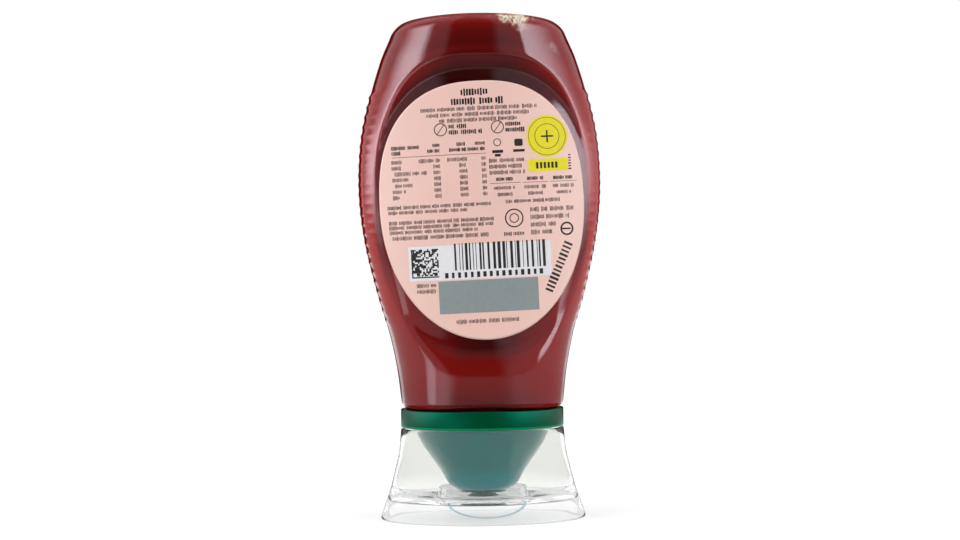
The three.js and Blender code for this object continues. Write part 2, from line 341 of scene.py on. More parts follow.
def blown_body(inset, straight, angles, ribbed=False, crease_radius=1.2):
    """Rings of the body's skin from the heel up and over the crowned, dished end."""
    low, high = heel_z + inset, top_z - inset
    turns = np.linspace(0, math.pi / 2, 9)
    z = np.concatenate([
        low + heel_radius * (1 - np.sin(turns[::-1])), straight, high - top_radius * (1 - np.sin(turns)),
    ])
    corner = np.concatenate([
        heel_radius * (1 - np.cos(turns[::-1])), 0 * straight, top_radius * (1 - np.cos(turns)),
    ])
    half_width, half_depth = half_width_at(z) - inset - corner, half_depth_at(z) - inset - corner
    rings = oval(half_width, half_depth, z, angles, squareness_at(z))
    x, y, height = (rings[:, :, i] for i in range(3))
    clear = panel_at(x, height, inset) - np.abs(y)
    if ribbed:
        lift = side_relief(z, y, clear)
        normal = np.stack([np.cos(angles) / side_half_width, np.sin(angles) / side_half_depth])
        normal = normal / np.linalg.norm(normal, axis=0)
        on_parting = (np.abs(np.sin(angles)) < parting_reach) * (z > heel_z + 2)[:, None]
        x = x + (lift + parting_proud * on_parting - parting_proud) * normal[0]
        y = y + lift * normal[1]
        clear = panel_at(x, height, inset) - np.abs(y)
    blend = np.clip(0.5 - clear / (2 * crease_radius), 0, 1)
    pressed = np.abs(y) + clear * blend - crease_radius * blend * (1 - blend)
    rings = np.stack([x, np.sign(y) * pressed, height], axis=2)
    shares = np.linspace(1, 0.03, 22)[1:]
    dish = rings[-1][None] * np.stack([shares, shares, np.ones_like(shares)], axis=1)[:, None]
    dish[:, :, 2] -= (push_up * (1 - smooth(shares, push_up_share, push_up_edge)))[:, None]
    rings = np.concatenate([rings, dish])
    bow = crown * smooth(rings[:, :, 2], top_z - crown_reach, high)
    rings[:, :, 2] -= bow * (rings[:, :, 0] / half_width_at(top_z)) ** 2
    return rings


def skin(name, rings, closed=False):
    """A smooth mesh over rings in millimetres, with each end drawn together, or joined up if closed."""
    count, sides = rings.shape[:2]
    rows = count if closed else count - 1
    row, side = np.meshgrid(np.arange(rows), np.arange(sides), indexing="ij")
    after = (side + 1) % sides
    above = (row + 1) % count
    corners = [row * sides + side, row * sides + after, above * sides + after, above * sides + side]
    faces = np.stack(corners, axis=2).reshape(-1, 4).tolist()
    points = rings.reshape(-1, 3)
    if not closed:
        points = np.concatenate([points, [rings[0].mean(0), rings[-1].mean(0)]])
        low, high, last = len(points) - 2, len(points) - 1, (count - 1) * sides
        for i in range(sides):
            j = (i + 1) % sides
            faces.append([low, j, i])
            faces.append([high, last + i, last + j])
    mesh = bpy.data.meshes.new(name)
    mesh.from_pydata((points * MM).tolist(), [], faces)
    mesh.shade_smooth()
    triangles = np.array([[f[0], f[i], f[i + 1]] for f in faces for i in range(1, len(f) - 1)])
    a, b, c = (points[triangles[:, i]] for i in range(3))
    if np.einsum("ij,ij->i", a, np.cross(b, c)).sum() < 0:
        mesh.flip_normals()
    return mesh


def fine_waves(scale, distance):
    """A Normal socket's maker: shallow unevenness, as blown or moulded plastic has."""

    def make(tree):
        inputs = {"Height": tree.noise(scale, 0.0), "Distance": distance, "Strength": 0.3}
        return tree.make("ShaderNodeBump", {}, inputs)

    return make


# columns close together at the two parting lines, where the mould halves met
beside = np.array([-0.008, -0.0035, 0.0035, 0.008])
shell_angles = np.sort(np.concatenate([circle(184), beside % (2 * math.pi), math.pi + beside]))
rib_low = rib_first - rib_pitch * rib_count
fine = np.concatenate([
    np.linspace(heel_z + heel_radius + 0.4, rib_low - 0.3, 44),
    np.linspace(rib_low, rib_first + rib_pitch, 236),
    np.linspace(rib_first + rib_pitch + 0.4, top_z - top_radius - 0.3, 44),
])
coarse = np.linspace(heel_z + heel_radius + 2, top_z - top_radius - 2, 56)
bore = neck_radius - neck_wall
mouth_radii = [bore, bore + 0.3, neck_radius - 0.3, neck_radius]
mouth_z = np.array([neck_end + 0.3, neck_end, neck_end, neck_end + 0.3])
mouth = oval(mouth_radii, mouth_radii, mouth_z, shell_angles)
neck = oval([neck_radius, plug_half_width - 0.3, plug_half_width, plug_half_width],
            [neck_radius, plug_half_depth - 0.3, plug_half_depth, plug_half_depth],
            np.array([plug_low, plug_low, plug_low + 0.3, heel_z - 0.05]), shell_angles)
inner_neck = oval([bore, plug_half_width - 1.2, plug_half_width - pet_wall, plug_half_width - pet_wall],
                  [bore, plug_half_depth - 1.2, plug_half_depth - pet_wall, plug_half_depth - pet_wall],
                  np.array([plug_low, plug_low, plug_low + 0.4, heel_z]) + pet_wall, shell_angles)
inner_body = blown_body(pet_wall, coarse, shell_angles)
outer_body = blown_body(0, fine, shell_angles, ribbed=True)
shell_rings = np.concatenate([inner_body[::-1], inner_neck[::-1], mouth, neck, outer_body])
shell = skin("bottle_shell", shell_rings)
clear_pet = plastic(
    "clear_pet", (1, 0.985, 0.975, 1), Roughness=0.025, IOR=1.57,
    Specular_Tint=(1, 0.92, 1, 1), Transmission_Weight=1.0,
)
bottle = link("bottle_shell", shell, clear_pet)
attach(bottle, "root")
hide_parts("bottle")


# The ketchup fills the shell and wets its wall, so its skin lies a little inside the plastic. It has left
# some air at the top right, seen as a bright crumpled pocket, with a faint painted glint beside it. Its red
# has painted shade round the labels, painted light towards the sides and a thin painted highlight line
# above the labels. Each spot is given as (x, z, half width, half height).
ketchup_inset = 0.6
label_half_width, label_low, label_wide, label_high = 31.7, 56.7, 98.6, 136.4
pocket, pocket_lobe, pocket_deep = (10.6, 156.2, 6.2, 2.6), (12.4, 153.2, 3.2, 1.9), 0.15
# a faint painted glint near the top right
painted_glint = (22.3, 146.6, 2.6, 1.2)
spot_y, spot_depth = -19.5, 6.5
# how far out from the labels' edge the painted highlight line lies, its half width and its strength
line_beyond, line_half_width, line_gain = 10.2, 0.9, 0.12


def ketchup_colour(tree):
    """Red, with the painted light and shade kept on the mesh; cream where air and foam touch the wall; a
    painted glint.
    """
    shade = tree.stored("painted_light") + (tree.noise(45.0, 3.0) - 0.5) * 0.08
    red = tree.ramp(shade, (0.0, (0.004, 0.0001, 0.0001, 1)), (1.0, (0.5, 0.007, 0.0035, 1)))
    crinkle = tree.noise(700.0, 4.0, 1.5)
    pale = tree.ramp(crinkle, (0.40, (0.34, 0.15, 0.03, 1)), (0.56, (0.86, 0.80, 0.68, 1)))
    return tree.blend(tree.stored("froth_and_glint"), red, pale)


ketchup_angles = circle(200)
ketchup_levels = np.concatenate([
    np.linspace(heel_z + heel_radius + 1.2, 138, 150), np.linspace(138.4, top_z - top_radius - 1, 50),
])
bore_fill = bore + pet_wall - ketchup_inset
fill_shoulder = plug_low + ketchup_inset
fill_neck = oval([bore_fill, bore_fill, plug_half_width - 1, plug_half_width - ketchup_inset],
                 [bore_fill, bore_fill, plug_half_depth - 1, plug_half_depth - ketchup_inset],
                 np.array([neck_end + 0.4, fill_shoulder, fill_shoulder, plug_low + 1.2]), ketchup_angles)
fill = np.concatenate([fill_neck, blown_body(ketchup_inset, ketchup_levels, ketchup_angles)])
x, y, z = (fill[:, :, i] for i in range(3))
crumple = 0.14 * np.sin(1.9 * x + 0.8 * z) + 0.1 * np.sin(3.7 * x - 2.1 * z + 1)


def spot(spot_x, spot_z, half_width, half_height, slant=0.0):
    """1 in the middle of a soft-edged crumpled spot on the near side of the fill, and 0 outside it."""
    along = (x - spot_x) * math.cos(slant) + (z - spot_z) * math.sin(slant)
    aloft = (z - spot_z) * math.cos(slant) - (x - spot_x) * math.sin(slant)
    inward = (y - spot_y) / spot_depth
    reach = np.sqrt((along / half_width) ** 2 + (aloft / half_height) ** 2 + inward**2)
    return 1 - smooth(reach + crumple, 0.72, 1.06)


# pale foam in the air pocket and its lobe, and beside them a faint painted glint
froth_and_glint = np.clip(spot(*pocket) + 0.3 * spot(*pocket_lobe) + 0.25 * spot(*painted_glint, slant=-1.0), 0, 1)
fill[:, :, 1] += pocket_deep * spot(*pocket)
beyond_label = outside_oval(x, z, label_half_width, label_low, label_wide, label_high)
x_share = x / half_width_at(z)
from_middle = np.abs(x_share)
# painted light by height, brighter towards the sides and a little brighter on the right
side_light = through(
    (36, 0.5), (45, 0.62), (57, 0.66), (70, 0.9), (100, 0.95), (125, 0.8), (140, 0.62), (154, 0.62),
)
middle_light = through(
    (36, 0.2), (42, 0.42), (57, 0.42), (75, 0.36), (130, 0.3), (151, 0.27), (157, 0.6),
)
painted_light = middle_light(z) + (side_light(z) - middle_light(z)) * smooth(from_middle, 0.2, 0.95)
painted_light = painted_light + 0.02 * x_share
# a thin painted highlight line above the labels
painted_light = painted_light + line_gain * np.exp(-((beyond_label - line_beyond) / line_half_width) ** 2) * smooth(z, 120, 140)
# painted shade round the labels, fading out beyond them
near_label = 0.33 + 0.4 * (1 - smooth(z, 62, 90)) * smooth(from_middle, 0.12, 0.5)
at_side = smooth(from_middle, 0.7, 0.95)
past_label = smooth((beyond_label - 2.5 + 2.5 * at_side) / (5 - 3.5 * at_side))
painted_light = painted_light * (near_label + (1 - near_label) * past_label)
ketchup_red = plastic(
    "ketchup_red", ketchup_colour,
    Roughness=0.3, Specular_IOR_Level=0.06, Normal=fine_waves(120, 0.00005),
)
fill_mesh = skin("ketchup_fill", fill)
for key, values in {"painted_light": painted_light, "froth_and_glint": froth_and_glint}.items():
    ends = [values[0].mean(), values[-1].mean()]
    fill_mesh.attributes.new(key, "FLOAT", "POINT").data.foreach_set("value", [*values.ravel(), *ends])
ketchup = link("ketchup_fill", fill_mesh, ketchup_red)
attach(ketchup, "root")
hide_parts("ketchup")


# The two labels: thin printed film, die-cut to an oval and stuck to the panels. The back one sits two
# degrees askew. Their print is thin patches of ink that lie on the film.
label_power_high, label_power_low = 2.45, 2.05
label_tilt = math.radians(2.2)
film_gap, film_thick, ink_gap, ink_thick = 0.05, 0.12, 0.012, 0.015


def on_label(flat, side, tilt):
    """Lays (across, height, outward) points of a label on its curved panel; side is -1 for the back."""
    x = flat[..., 0] * math.cos(tilt) - flat[..., 1] * math.sin(tilt)
    z = flat[..., 0] * math.sin(tilt) + flat[..., 1] * math.cos(tilt) + label_wide
    y = panel_depth - panel_bend + np.sqrt(panel_bend**2 - x**2) + film_gap + flat[..., 2]
    return np.stack([-side * x, side * y, z], axis=-1)


def flat_patch(outline, low, high, rings=12):
    """Rings of a flat piece with that outline, from the middle of one face to the middle of the other."""
    outline = np.asarray(outline, float)
    middle = outline.mean(0)
    shares = np.append(np.linspace(0.02, 0.985, rings - 1), 1)[:, None, None]
    spread = middle + (outline[None] - middle) * shares
    under = np.concatenate([spread, np.full(spread.shape[:2] + (1,), low)], axis=2)
    over = np.concatenate([spread[::-1], np.full(spread.shape[:2] + (1,), high)], axis=2)
    return np.concatenate([under, over])


film_angles = circle(200)
film_power = np.where(np.sin(film_angles) > 0, label_power_high, label_power_low)
powered_cos = np.sign(np.cos(film_angles)) * np.abs(np.cos(film_angles)) ** (2 / film_power)
powered_sin = np.sign(np.sin(film_angles)) * np.abs(np.sin(film_angles)) ** (2 / film_power)
film_reach = np.where(powered_sin > 0, label_high - label_wide, label_wide - label_low)
film_outline = np.stack([label_half_width * powered_cos, film_reach * powered_sin], axis=1)


def film_colour(tree):
    return tree.ramp(tree.noise(60.0, 4.0), (0.3, (0.68, 0.445, 0.39, 1)), (0.7, (0.71, 0.465, 0.41, 1)))


label_film = plastic(
    "label_film", film_colour, Roughness=0.42, Normal=fine_waves(220, 0.00004),
    Coat_Weight=0.15, Coat_Roughness=0.3,
)
labels = {"label_back": (-1, label_tilt), "label_front": (1, 0.0)}
for name, (side, tilt) in labels.items():
    film = skin(name + "_film", on_label(flat_patch(film_outline, 0, film_thick, rings=26), side, tilt))
    film = link(name + "_film", film, label_film)
    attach(film, "root")
    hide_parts(name)


# The print on the back label. Small type is shown as lines of short upright strokes of uneven width,
# made by Geometry Nodes from one point for each line; bars and code cells are longer or shorter strokes.
ink_low = film_thick + ink_gap


def ink(name, colour, roughness=0.5):
    def uneven(tree):
        lighter = [1.05 * channel + 0.002 for channel in colour]
        return tree.ramp(tree.noise(700.0, 2.0), (0.35, (*colour, 1)), (0.7, (*lighter, 1)))

    return plastic(name, uneven, Roughness=roughness, Specular_IOR_Level=0.2)


black_ink = ink("black_ink", (0.018, 0.015, 0.013))
yellow_ink = ink("yellow_ink", (0.65, 0.57, 0.015))
white_ink = ink("white_ink", (0.62, 0.615, 0.645))
silver_ink = ink("silver_ink", (0.207, 0.24, 0.244), 0.35)
red_ink = ink("red_ink", (0.36, 0.012, 0.010))
green_ink = ink("green_ink", (0.02, 0.16, 0.05))


def stroke_tree():
    """Geometry Nodes: each point becomes a line of upright boxes, of the sizes stored on it."""
    tree = bpy.data.node_groups.new("printed_strokes", "GeometryNodeTree")
    tree.interface.new_socket("Geometry", in_out="INPUT", socket_type="NodeSocketGeometry")
    tree.interface.new_socket("Ink Thickness", in_out="INPUT", socket_type="NodeSocketFloat")
    tree.interface.new_socket("Seed", in_out="INPUT", socket_type="NodeSocketInt")
    tree.interface.new_socket("Ink", in_out="INPUT", socket_type="NodeSocketMaterial")
    tree.interface.new_socket("Geometry", in_out="OUTPUT", socket_type="NodeSocketGeometry")

    def add(kind, links=None, **settings):
        node = tree.nodes.new(kind)
        for name, value in settings.items():
            setattr(node, name, value)
        for name, value in (links or {}).items():
            if isinstance(value, bpy.types.NodeSocket):
                tree.links.new(value, node.inputs[name])
            else:
                node.inputs[name].default_value = value
        return node

    def stored(name):
        node = add("GeometryNodeInputNamedAttribute", {"Name": name}, data_type="FLOAT")
        return node.outputs["Attribute"]

    def maths(operation, a, b):
        return add("ShaderNodeMath", {0: a, 1: b}, operation=operation).outputs[0]

    def chance(low, high, seed):
        node = add("FunctionNodeRandomValue", {2: low, 3: high, "Seed": seed}, data_type="FLOAT")
        return node.outputs[1]

    given = add("NodeGroupInput")
    seed = given.outputs["Seed"]
    pitch, length, tall = stored("pitch"), stored("length"), stored("tall")
    points = add("GeometryNodeMeshToPoints", {"Mesh": given.outputs["Geometry"]})
    amount = maths("ROUND", maths("DIVIDE", length, pitch), 0.0)
    many = {"Geometry": points.outputs[0], "Amount": amount}
    copies = add("GeometryNodeDuplicateElements", many, domain="POINT")
    along = maths("MULTIPLY", copies.outputs["Duplicate Index"], pitch)
    turned = add("ShaderNodeCombineXYZ", {"Y": maths("MULTIPLY", stored("slant"), -1.0)}).outputs[0]
    run = add("ShaderNodeCombineXYZ", {"X": along}).outputs[0]
    spin = {"Vector": run, "Rotation": turned}
    turned_run = add("ShaderNodeVectorRotate", spin, rotation_type="EULER_XYZ").outputs[0]
    placed = add("GeometryNodeSetPosition", {"Geometry": copies.outputs[0], "Offset": turned_run})
    odds = {"Probability": stored("gaps"), "Seed": seed}
    gap = add("FunctionNodeRandomValue", odds, data_type="BOOLEAN").outputs[3]
    kept = add("GeometryNodeDeleteGeometry", {"Geometry": placed.outputs[0], "Selection": gap})
    filled = maths("MULTIPLY", pitch, stored("fill"))
    width = maths("MULTIPLY", filled, chance(0.72, 1.12, maths("ADD", seed, 7)))
    uneven = maths("MULTIPLY", stored("uneven"), chance(-0.5, 0.5, maths("ADD", seed, 19)))
    height = maths("MULTIPLY", tall, maths("ADD", uneven, 1.0))
    thickness = given.outputs["Ink Thickness"]
    size = add("ShaderNodeCombineXYZ", {"X": width, "Y": thickness, "Z": height}).outputs[0]
    box = add("GeometryNodeMeshCube", {"Size": (1, 1, 1)})
    strokes = add("GeometryNodeInstanceOnPoints", {
        "Points": kept.outputs[0], "Instance": box.outputs["Mesh"], "Rotation": turned, "Scale": size,
    })
    solid = add("GeometryNodeRealizeInstances", {"Geometry": strokes.outputs[0]})
    painted = {"Geometry": solid.outputs[0], "Material": given.outputs["Ink"]}
    inked = add("GeometryNodeSetMaterial", painted)
    add("NodeGroupOutput", {"Geometry": inked.outputs[0]})
    return tree


strokes_tree = stroke_tree()


def strokes(name, lines, material, seed):
    """Flat strokes for (left, height, length, tall, pitch, fill, gaps, uneven, slant) lines, in mm."""
    lines = np.array(lines, float)
    mesh = bpy.data.meshes.new(name + "_lines")
    mesh.from_pydata([(left, 0, height) for left, height in lines[:, :2]], [], [])
    for column, key in enumerate(("length", "tall", "pitch", "fill", "gaps", "uneven", "slant")):
        mesh.attributes.new(key, "FLOAT", "POINT").data.foreach_set("value", lines[:, column + 2])
    carrier = link(name + "_lines", mesh, material)
    modifier = carrier.modifiers.new("strokes", "NODES")
    modifier.node_group = strokes_tree
    values = {"Ink Thickness": ink_thick, "Seed": seed, "Ink": material}
    for item in strokes_tree.interface.items_tree:
        if item.in_out == "INPUT" and item.name in values:
            modifier[item.identifier] = values[item.name]
    evaluated = carrier.evaluated_get(bpy.context.evaluated_depsgraph_get())
    made = bpy.data.meshes.new_from_object(evaluated)
    bpy.data.objects.remove(carrier)
    return made


def print_piece(name, mesh, side, tilt, material):
    """Lays a flat mesh, drawn in millimetres across X and up Z, on a label, and makes it ride there."""
    flat = np.zeros(len(mesh.vertices) * 3)
    mesh.vertices.foreach_get("co", flat)
    flat = flat.reshape(-1, 3)
    outward = ink_low + ink_thick / 2 - flat[:, 1]
    placed = on_label(np.stack([flat[:, 0], flat[:, 2], outward], axis=1), side, tilt) * MM
    mesh.vertices.foreach_set("co", placed.ravel())
    mesh.update()
    piece = link(name, mesh, material)
    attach(piece, "root")


def patches(name, outlines, side, tilt, material, lift=0.0):
    """Solid fields of one ink with those outlines, as one piece."""
    low = ink_low + lift
    points, faces = [], []
    for outline in outlines:
        part = skin(name, on_label(flat_patch(outline, low, low + ink_thick), side, tilt))
        faces += [[len(points) + i for i in face.vertices] for face in part.polygons]
        points += [tuple(vertex.co) for vertex in part.vertices]
        bpy.data.meshes.remove(part)
    mesh = bpy.data.meshes.new(name)
    mesh.from_pydata(points, [], faces)
    piece = link(name, mesh, material)
    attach(piece, "root")


def block(left, right, low, high, corner=0.0, per_side=14):
    """The outline of an upright rectangle, with rounded corners if asked."""
    turns = np.linspace(0, math.pi / 2, 5) if corner else np.array([0.0])
    centres = [(right - corner, high - corner), (left + corner, high - corner),
               (left + corner, low + corner), (right - corner, low + corner)]
    shares = np.linspace(0, 1, per_side)[1:-1]
    points = []
    for quarter, (x, z) in enumerate(centres):
        bend = turns + quarter * math.pi / 2
        round_corner = [(x + corner * math.cos(a), z + corner * math.sin(a)) for a in bend]
        start_x, start_z = points[-1] if points else (right, low + corner)
        end_x, end_z = round_corner[0]
        points += [(start_x + (end_x - start_x) * t, start_z + (end_z - start_z) * t) for t in shares]
        points += round_corner
    return points


def disc(x, z, radius):
    return [(x + radius * math.cos(a), z + radius * math.sin(a)) for a in circle(40)]


def ring_of_blocks(x, z, radius, width, count=40):
    """Short blocks side by side round a circle, which read as one thin line."""
    outlines = []
    for start in circle(count):
        end = start + 2.04 * math.pi / count
        corners = ((radius, start), (radius, end), (radius - width, end), (radius - width, start))
        outlines.append([(x + reach * math.cos(a), z + reach * math.sin(a)) for reach, a in corners])
    return outlines


def type_line(left, right, height, tall, pitch, fill=0.5, gaps=0.16, uneven=0.55, slant=0.0):
    return (left, height, right - left, tall, pitch, fill, gaps, uneven, slant)


word_lengths = np.random.default_rng(23)


def words(left, right, height, tall=1.0, pitch=0.36, fill=0.58, uneven=0.6):
    """A line of small type, as words of uneven length."""
    found = []
    while right - left > 1.5 * pitch:
        length = min(word_lengths.uniform(1.6, 5.5) * tall, right - left)
        found.append(type_line(left, left + length, height, tall, pitch, fill, 0.0, uneven))
        left += length + 0.5 * tall
    return found


# (left, right, height, tall, pitch) of each line of type, from the middle of the label
bold = dict(fill=0.76, uneven=0.45)
type_lines = [
    *words(-4.9, 5.1, 34.4, 1.9, 0.85, **bold),
    *words(-8.0, 8.2, 31.6, 1.9, 0.85, **bold),
    *words(-17.6, 18.3, 29.4, 1.1, 0.42),
    *words(-15.9, 15.9, 27.65, 1.1, 0.42),
    *words(-12.0, 12.3, 25.9, 1.1, 0.42),
    *words(-9.2, -3.6, 24.1, 1.2, 0.6, **bold),
    *words(-9.2, 1.4, 22.3, 1.2, 0.6, **bold),
    *words(8.3, 13.0, 24.1, 1.2, 0.6, **bold),
    *words(8.3, 14.3, 22.3, 1.2, 0.6, **bold),
    *words(-27.1, -18.6, 18.3, 1.1, 0.4, **bold),
    *words(-27.1, -24.4, 16.7, 1.1, 0.4, **bold),
    *words(4.5, 9.7, 7.2, 1.0, 0.38, **bold),
    *words(14.1, 19.1, 7.1, 1.0, 0.38, **bold),
    *words(22.4, 28.6, 7.0, 1.0, 0.38, **bold),
    *words(7.1, 25.1, 0.25, 1.0),
    *words(-29.2, 2.6, -0.05, 1.0),
    *words(-29.0, -4.6, -1.6, 1.0),
    *words(-28.1, 2.4, -9.5, 1.15),
    *words(6.2, 12.8, -9.7, 1.1, 0.5),
    *words(-21.4, -15.6, -24.4, 1.1, 0.42),
    *words(-21.4, -15.6, -26.2, 1.1, 0.42),
    *words(-9.8, 10.6, -36.0, 1.2, 0.42),
    type_line(17.4, 24.4, 10.95, 1.9, 1.2, fill=0.7, gaps=0.0, uneven=0.1),
    type_line(27.7, 32.4, 9.6, 0.85, 0.85, gaps=0.0, slant=math.pi / 2),
]

# the table, with its numbers in three columns, and the texts in several rows
number_columns = (-12.3, -4.2, 1.6)
for column_right, half in zip(number_columns, (2.2, 2.9, 3.0)):
    type_lines += words(column_right - half, column_right, 18.6, 1.0, 0.38, **bold)
    type_lines += words(column_right - 2 * half + 0.6, column_right, 16.9, 1.0, 0.38, **bold)
row_labels = (3.4, 2.8, 9.9, 5.2, 6.5, 4.0, 2.2)
row_indents = (0, 0, 0.8, 0, 0.8, 0, 0)
table_left, table_high, row_pitch = -27.3, 13.95, 1.82
for row, (long, indent) in enumerate(zip(row_labels, row_indents)):
    row_z = table_high - row_pitch * row
    type_lines += words(table_left + indent, table_left + indent + long, row_z, 1.1)
    spans = (2.2, 2.4, 1.3) if row else (6.6, 6.0, 1.3)
    for column_right, span in zip(number_columns, spans):
        type_lines += words(column_right - span, column_right, row_z, 1.1)
for row, long in enumerate((11.1, 10.2, 11.0)):
    type_lines += words(2.6, 2.6 + long, 13.0 - 1.85 * row, 1.1)
for column in (7.1, 16.6, 25.5):
    type_lines += words(column - 3.4, column + 3.4, 4.5, 1.0)
    type_lines += words(column - 2.3, column + 2.3, 2.5, 1.0)
for row, long in enumerate((32.0, 31.8, 27.0)):
    type_lines += words(-28.9, -28.9 + long, -4.75 - 1.48 * row, 1.05)
for row, long in enumerate((14.8, 12.4, 8.0, 6.6)):
    type_lines += words(14.6, 14.6 + long, -2.5 - 2.35 * row, 1.25, 0.4)
slanted = math.atan2(14.9, 7.1)
type_lines.append(
    type_line(19.3, 35.8, -27.6, 2.7, 1.3, fill=0.56, gaps=0.08, uneven=0.25, slant=slanted)
)

# the striped field and the square field of cells
bar_module, bar_left, bar_right, bar_z, bar_tall = 0.297, -9.6, 18.3, -16.0, 8.3
bar_lines = []
while bar_left < bar_right:
    bar = bar_module * word_lengths.integers(1, 4)
    bar_ends = (bar_left + bar / 2, bar_left + 1.5 * bar)
    bar_lines.append(type_line(*bar_ends, bar_z, bar_tall, bar, 0.95, 0.0, 0.0))
    bar_left += bar + bar_module * word_lengths.integers(1, 4)
code_left, code_high, code_side, code_rows = -22.8, -13.4, 8.3, 17
cell = code_side / code_rows
for row in range(code_rows):
    row_ends = (code_left + cell / 2, code_left + cell / 2 + code_side)
    bar_lines.append(type_line(*row_ends, code_high - cell * row, cell * 1.03, cell, 1.15, 0.42, 0.0))
bar_lines.append(type_line(-12.2, 19.0, -21.6, 1.7, 1.95, fill=0.5, gaps=0.0, uneven=0.1))
back = labels["label_back"]
print_piece("label_back_type", strokes("type", type_lines, black_ink, 11), *back, black_ink)
rules = [
    block(-22.8, -22.4, -21.7, -13.4), block(-22.8, -14.5, -22.0, -21.6),
    block(-27.2, 1.7, 15.38, 15.52), block(2.5, 11.9, 5.95, 6.07),
    block(12.6, 20.5, 5.85, 5.97), block(21.3, 29.7, 5.8, 5.92),
]
patches("label_back_rules", rules, *back, black_ink)

# small plain marks: circles, some with a bar across, and little blocks
marks = ring_of_blocks(-11.9, 23.3, 2.0, 0.28) + ring_of_blocks(5.6, 23.3, 2.0, 0.28)
marks += ring_of_blocks(25.8, -8.9, 2.1, 0.55) + [block(23.9, 27.0, -9.15, -8.65)]
marks += [[(x - 1.3, 21.8), (x - 1.0, 21.8), (x + 1.3, 24.8), (x + 1.0, 24.8)] for x in (-11.9, 5.6)]
marks += ring_of_blocks(5.3, 18.6, 1.2, 0.25, 24)
marks += [block(3.6, 7.0, 15.3, 16.2, 0.2), block(4.4, 6.2, 14.2, 15.0)]
marks += [block(10.6, 13.2, 17.2, 19.4, 0.5), block(10.1, 13.7, 15.4, 16.2, 0.2)]
marks += ring_of_blocks(9.4, -4.9, 2.9, 0.4, 30) + ring_of_blocks(9.4, -4.9, 1.5, 0.3, 24)
patches("label_back_marks", marks, *back, black_ink)

# the round seal and the plain fields, which lie a little under the type on them
seal_x, seal_z, seal_radius = 20.9, 19.85, 6.45
under_type = -0.003
yellow_fields = [disc(seal_x, seal_z, seal_radius), block(14.6, 27.1, 9.1, 12.95, 0.5)]
patches("label_back_yellow", yellow_fields, *back, yellow_ink, lift=under_type)
seal_lines = ring_of_blocks(seal_x, seal_z, 5.9, 0.15) + ring_of_blocks(seal_x, seal_z, 3.9, 0.18)
seal_lines += [block(seal_x - 1.9, seal_x + 1.9, seal_z - 0.25, seal_z + 0.25),
               block(seal_x - 0.25, seal_x + 0.25, seal_z - 1.9, seal_z + 1.9)]
patches("label_back_seal", seal_lines, *back, black_ink, lift=ink_thick)
white_field = block(-23.6, 20.4, -22.9, -12.3, per_side=50)
patches("label_back_white", [white_field], *back, white_ink, lift=under_type)
silver_field = block(-14.9, 15.9, -33.4, -23.3, per_side=40)
patches("label_back_silver", [silver_field], *back, silver_ink, lift=under_type)
bars = strokes("bars", bar_lines, black_ink, 5)
print_piece("label_back_bars", bars, *back, black_ink)


# The print on the front label, which the photograph doesn't show: a plain red field with two lines of bold
# type over a yellow disc with a green leaf, as a sign for a tomato.
front = labels["label_front"]
field_share = 0.86
front_field = [(field_share * x, field_share * z) for x, z in film_outline[::2]]
patches("label_front_field", [front_field], *front, red_ink, lift=under_type)
front_lines = [type_line(-17, 17, 14, 5.2, 3.4, fill=0.72, gaps=0.0, uneven=0.2),
               type_line(-11, 11, 6.5, 2.4, 1.7, fill=0.7, gaps=0.0, uneven=0.2)]
print_piece("label_front_type", strokes("front_type", front_lines, white_ink, 3), *front, white_ink)
patches("label_front_disc", [disc(0, -13, 9.5)], *front, yellow_ink, lift=0.012)
leaf_x, leaf_z, leaf_half_width, leaf_half_height = 0.201, -6.5, 5.4, 3.4
leaf = []
for a in circle(60):
    reach = abs(math.cos(2.5 * a)) ** 0.7
    spread, rise = leaf_half_width * reach * math.cos(a), leaf_half_height * reach * math.sin(a)
    leaf.append((leaf_x + spread, leaf_z + rise))
patches("label_front_leaf", [leaf], *front, green_ink, lift=0.03)


# The closure: moulded green plastic, an oval band that carries the overcap, and under it the cone that
# runs down to a round nozzle. It is pushed on over the bottle's neck.
band_half_width, band_half_depth, band_low, band_high = 25.65, 21.0, 28.8, 34.6
cone_low, cone_high = 8.7, 28.5
cone = through((cone_low, 7.9), (10.3, 10.2), (15, 13.3), (21, 17.4), (27.2, 21.7), (band_low, 22.6))
cone_depth = through((cone_low, 7.9), (10.3, 10.1), (15, 12.7), (21, 15.6), (27.2, 18.6), (band_low, 19.2))
cone_wall, orifice_radius, nozzle_z = 1.4, 2.0, 6.5


def rounded_steps(low, high, radius, count=6):
    """(height, drawn in) pairs of a standing wall with a small radius at both edges."""
    turns = np.linspace(0, math.pi / 2, count)
    bottom = [(low + radius * (1 - math.sin(a)), radius * (1 - math.cos(a))) for a in turns[::-1]]
    top = [(high - radius * (1 - math.sin(a)), radius * (1 - math.cos(a))) for a in turns]
    return np.array(bottom + top)


